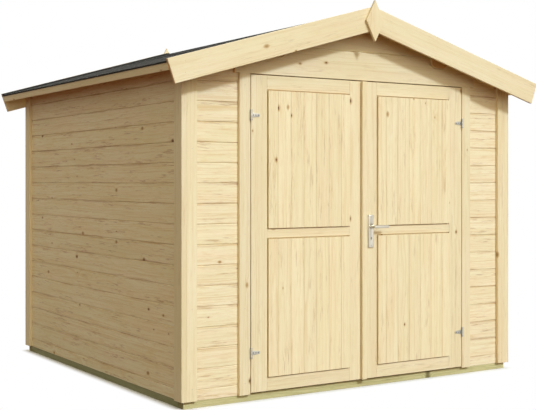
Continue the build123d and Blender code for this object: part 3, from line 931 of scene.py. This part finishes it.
# Fixings: heads in rows, set by one node tree. A pan head has a cross recess, whose floor is a
# little smaller than its mouth. The profile is in shares of the radius and the height.
heads = {
    "panHead": {"radius": 3.6 * mm, "height": 1.6 * mm, "recess": 1.2 * mm},
    "cloutHead": {"radius": 5.0 * mm, "height": 0.9 * mm, "recess": 0},
    "bradHead": {"radius": 1.8 * mm, "height": 0.25 * mm, "recess": 0},
}
headProfile = [(1.0, -0.4), (1.0, 0.35), (0.86, 0.80), (0.60, 1.0)]
recessShares = [0.40, 0.15, 0.40]
recessTaper = 0.8
headSides = 12
headSmoothBelow = 50


def headObject(name):
    look = heads[name]
    rings = [([share] * headSides, lift * look["height"]) for share, lift in headProfile]
    if look["recess"]:
        star = [recessShares[i % 3] for i in range(headSides)]
        floor = [recessTaper * share for share in star]
        rings += [(star, look["height"]), (floor, look["height"] - look["recess"])]
    bm = bmesh.new()
    loops = []
    for shares, lift in rings:
        loops.append([])
        for i, share in enumerate(shares):
            turn = 2 * math.pi * i / headSides
            reach = share * look["radius"]
            loops[-1].append(bm.verts.new((reach * math.cos(turn), reach * math.sin(turn), lift)))
    skinRings(bm, loops)
    return addObject(name, meshFrom(bm, name))


def makeFixingTree():
    tree, add, given = newTree("driveFixings", {
        "Rows": "Geometry", "Head": "Object", "Spacing": "Float", "Seed": "Int",
        "Finish": "Material",
    })
    curves = add("GeometryNodeMeshToCurve", {0: given["Rows"]})
    places = add("GeometryNodeResampleCurve", {
        0: curves, "Length": given["Spacing"]}, mode="LENGTH")
    facing = add("GeometryNodeInputNamedAttribute", {"Name": "facing"}, data_type="FLOAT_VECTOR")
    stood = add("FunctionNodeAlignRotationToVector", {"Vector": facing}, axis="Z")
    turn = add("FunctionNodeRandomValue", {
        3: math.pi, "Seed": given["Seed"]}, 1, data_type="FLOAT")
    spin = add("FunctionNodeAxisAngleToRotation", {"Axis": (0, 0, 1), "Angle": turn})
    turned = add("FunctionNodeRotateRotation", {0: stood, 1: spin}, rotation_space="LOCAL")
    head = add("GeometryNodeObjectInfo", {"Object": given["Head"]}, "Geometry")
    driven = add("GeometryNodeInstanceOnPoints", {
        "Points": places, "Instance": head, "Rotation": turned})
    endTree(add, driven, given["Finish"])
    return tree


fixingTree = makeFixingTree()


# Each row is its first place, its last place and the way the heads face
def driveFixings(name, body, headName, rows, spacing, seed, finish="zincPlatedSteel"):
    mesh = bpy.data.meshes.new("rows")
    ends = [place for first, last, facing in rows for place in (first, last)]
    mesh.from_pydata(ends, [(i, i + 1) for i in range(0, len(ends), 2)], [])
    facings = mesh.attributes.new("facing", "FLOAT_VECTOR", "POINT")
    facings.data.foreach_set("vector", [c for *_, facing in rows for _ in range(2) for c in facing])
    head = headObject(headName)
    bm = runTree(fixingTree, mesh, {
        "Head": head, "Spacing": spacing, "Seed": seed, "Finish": finishes[finish],
    })
    bpy.data.objects.remove(head)
    placePiece(bm, name, body, finish, smoothBelow=headSmoothBelow)


# Where the heads stand: along a strap from its hinge's axis, down a bargeboard from the ridge and
# below its top corner, and otherwise in from the part's own edge
fixings = {
    "strapAxis": 6.5 * mm, "strapFace": 3 * mm, "strapFirst": 17 * mm, "strapLast": 50 * mm,
    "strapSpacing": 16.4 * mm, "wingAside": 10.4 * mm, "wingDepth": 7 * mm, "wingInset": 9 * mm,
    "wingSpacing": 20 * mm, "plateInset": 13 * mm, "plateSlack": 4 * mm, "nailInset": 70 * mm,
    "nailSpacing": 420 * mm, "bargeMiddle": 72 * mm, "bargeInset": 32 * mm,
    "bargeFirst": 140 * mm, "bargeLast": 1360 * mm, "cloutInset": 22 * mm,
    "cloutSpacing": 150 * mm, "feltEnds": 30 * mm,
}
fixingSeeds = {"straps": 61, "wings": 65, "plates": 66, "trims": 67, "felt": 68}


# A row up a part's face, from an inset over its foot to the same inset under its top
def uprightRow(x, y, low, high, inset, facing):
    return [Vector((x, y, low.z + inset)), Vector((x, y, high.z - inset)), facing]


# The face that a part on the shed's front or back turns outwards: its Y and the way it faces
def outerFace(low, high):
    return (low.y, -axisY) if low.y < 0 else (high.y, axisY)


def strapScrews(side):
    rows = []
    outward = 1 if side == "right" else -1
    for low, high in partBoxes("hinge_straps_" + side):
        axis = (high.x if outward > 0 else low.x) - outward * fixings["strapAxis"]
        face, level = high.y - fixings["strapFace"], (low.z + high.z) / 2
        rows.append([Vector((axis - outward * fixings[reach], face, level))
                     for reach in ("strapFirst", "strapLast")] + [-axisY])
    driveFixings("strap_screws_" + side, side + "_door", "panHead", rows,
                 fixings["strapSpacing"], fixingSeeds["straps"] + outward, "hotDippedZinc")


def wingScrews():
    rows = []
    for low, high in partBoxes("hinge_wings"):
        outward = 1 if low.x > 0 else -1
        face = (high.x if outward > 0 else low.x) - outward * fixings["wingAside"]
        rows.append(uprightRow(face, high.y - fixings["wingDepth"], low, high,
                               fixings["wingInset"], -axisX * outward))
    driveFixings("wing_screws", "shed", "bradHead", rows, fixings["wingSpacing"],
                 fixingSeeds["wings"])


# The spacing is a little shorter than the row, so each plate has a screw at both ends
def plateScrews():
    rows = []
    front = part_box("handle_plates")[0].y
    for low, high in partBoxes("handle_plates"):
        y, facing = (low.y, -axisY) if low.y < front + mm else (high.y, axisY)
        rows.append(uprightRow((low.x + high.x) / 2, y, low, high, fixings["plateInset"], facing))
    spacing = high.z - low.z - 2 * fixings["plateInset"] - fixings["plateSlack"]
    driveFixings("plate_screws", "right_door", "panHead", rows, spacing, fixingSeeds["plates"])


def trimNails():
    rows = []
    inset = fixings["nailInset"]
    for node in ("corner_strips", "door_jambs"):
        for low, high in partBoxes(node):
            y, facing = outerFace(low, high)
            rows.append(uprightRow((low.x + high.x) / 2, y, low, high, inset, facing))
    for low, high in partBoxes("corner_angles"):
        x, facing = (high.x, axisX) if low.x > 0 else (low.x, -axisX)
        rows.append(uprightRow(x, (low.y + high.y) / 2, low, high, inset, facing))
    for side, slope in slopes.items():
        for low, high in partBoxes("bargeboards_" + side):
            y, facing = outerFace(low, high)
            for depth in (-fixings["bargeInset"], fixings["bargeInset"]):
                start = Vector((0, y, high.z - fixings["bargeMiddle"] + depth))
                rows.append([start + slope["down"] * fixings[reach]
                             for reach in ("bargeFirst", "bargeLast")] + [facing])
    driveFixings("trim_nails", "shed", "bradHead", rows, fixings["nailSpacing"],
                 fixingSeeds["trims"])


def feltNails():
    rows = []
    low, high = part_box("felt_right")
    ends = [low.y + fixings["feltEnds"], high.y - fixings["feltEnds"]]
    thick = feltSheets["thickness"]
    lines = [(feltLapEnd, 2 * thick), (feltEdge, thick), (feltSheets["capReach"], 2 * thick)]
    for slope in slopes.values():
        for end, height in lines:
            spot = slope["down"] * (end - fixings["cloutInset"])
            spot += slope["up"] * (height + feltSheets["ripple"] / 2)
            rows.append([spot + Vector((0, y, ridgeBase)) for y in ends] + [slope["up"]])
    driveFixings("felt_clout_nails", "shed", "cloutHead", rows, fixings["cloutSpacing"],
                 fixingSeeds["felt"], "hotDippedZinc")


for side in slopes:
    strapScrews(side)
wingScrews()
plateScrews()
trimNails()
feltNails()
print("fixings driven")

# Studio: a pale floor that fades to white within a short way of the base, a clear cool key from
# the front right, a broad warm light from the front, a soft one from behind and a warm sky. Light
# that bounces meets a brown floor, so the eaves and walls shade off warmly, as they do outdoors,
# and metal mirrors the white that the eye sees.
studio = {
    "floorColor": "#F7F6F3", "bounceColor": "#61381A", "floorSize": 60.0,
    "fadeFrom": 0.0, "fadeTo": 70 * mm,
    "lamps": {
        "key": {"from": (0.223, -0.779, 0.586), "strength": 2.15, "softness": 7.0,
                "color": (0.73, 0.85, 1.0)},
        "front": {"from": (-0.14, -0.96, 0.24), "strength": 1.42, "softness": 90.0,
                  "color": (1.0, 0.93, 0.78)},
        "back": {"from": (0.55, 0.80, 0.25), "strength": 1.3, "softness": 60.0,
                 "color": (1.0, 0.97, 0.90)},
    },
    "skyColor": (1.0, 0.95, 0.74), "skyStrength": 0.47,
}


# How much a ray is the eye's or a mirror's, so that both see the white surroundings
def seenRays(add):
    rays = add("ShaderNodeLightPath").node.outputs
    mirrored = add("ShaderNodeMath", {
        0: rays["Is Glossy Ray"], 1: rays["Is Transmission Ray"]}, operation="MAXIMUM")
    return add("ShaderNodeMath", {0: rays["Is Camera Ray"], 1: mirrored}, operation="MAXIMUM")


def buildStudio():
    mesh = bpy.data.meshes.new("studioFloor")
    half = studio["floorSize"] / 2
    mesh.from_pydata([(-half, -half, 0), (half, -half, 0), (half, half, 0), (-half, half, 0)],
                     [], [(0, 1, 2, 3)])
    floor = addObject("studioFloor", mesh)
    material, add = newMaterial("studioFloor")
    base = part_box("end_bearers")[1]
    place = add("ShaderNodeTexCoord", out="Object")
    folded = add("ShaderNodeVectorMath", {0: place}, operation="ABSOLUTE")
    past = add("ShaderNodeVectorMath", {0: folded, 1: (base.x, base.y, 0)}, operation="SUBTRACT")
    outside = add("ShaderNodeVectorMath", {0: past, 1: (0, 0, 0)}, operation="MAXIMUM")
    away = add("ShaderNodeVectorMath", {0: outside}, "Value", operation="LENGTH")
    fade = add("ShaderNodeMapRange", {
        "Value": away, "From Min": studio["fadeFrom"], "From Max": studio["fadeTo"]},
        interpolation_type="SMOOTHSTEP")
    seen = seenRays(add)
    color = add("ShaderNodeMix", {
        0: seen, 6: hexColor(studio["bounceColor"]), 7: hexColor(studio["floorColor"])}, 2,
        data_type="RGBA")
    matte = add("ShaderNodeBsdfDiffuse", {"Color": color})
    white = add("ShaderNodeEmission", {"Color": (1, 1, 1, 1), "Strength": 1.0})
    factor = add("ShaderNodeMath", {0: fade, 1: seen}, operation="MULTIPLY")
    blend = add("ShaderNodeMixShader", {0: factor, 1: matte, 2: white})
    add("ShaderNodeOutputMaterial", {"Surface": blend})
    mesh.materials.append(material)

    for name, look in studio["lamps"].items():
        lamp = bpy.data.lights.new(name, "SUN")
        lamp.energy, lamp.color = look["strength"], look["color"]
        lamp.angle = math.radians(look["softness"])
        holder = addObject(name, lamp)
        holder.rotation_euler = Vector(look["from"]).to_track_quat("Z", "Y").to_euler()

    world = bpy.data.worlds.new("studio")
    bpy.context.scene.world = world
    world.use_nodes = True
    world.node_tree.nodes.clear()
    add = partial(addNode, world.node_tree)
    sky = add("ShaderNodeBackground", {
        "Color": (*studio["skyColor"], 1), "Strength": studio["skyStrength"]})
    white = add("ShaderNodeBackground", {"Color": (1, 1, 1, 1), "Strength": 1.0})
    blend = add("ShaderNodeMixShader", {0: seenRays(add), 1: sky, 2: white})
    add("ShaderNodeOutputWorld", {"Surface": blend})
    bpy.context.scene.view_settings.view_transform = "Standard"


# Camera: level, at an adult's chest height, turned to see the front and the left side. Its frame
# is shifted up or down by these pixels, out of the picture's width.
cameraSet = {
    "place": (-4.0497, -6.5296, 1.2827), "turn": -32.53, "lens": 71.07, "sensor": 36.0,
    "horizonAboveCentre": 23, "imageWidth": 536,
}


def buildCamera():
    camera = bpy.data.cameras.new("camera")
    camera.lens, camera.sensor_width = cameraSet["lens"], cameraSet["sensor"]
    camera.shift_y = -cameraSet["horizonAboveCentre"] / cameraSet["imageWidth"]
    holder = addObject("camera", camera)
    holder.location = cameraSet["place"]
    holder.rotation_euler = (math.pi / 2, 0, math.radians(cameraSet["turn"]))
    bpy.context.scene.camera = holder


buildStudio()
buildCamera()
print("studio and camera ready")
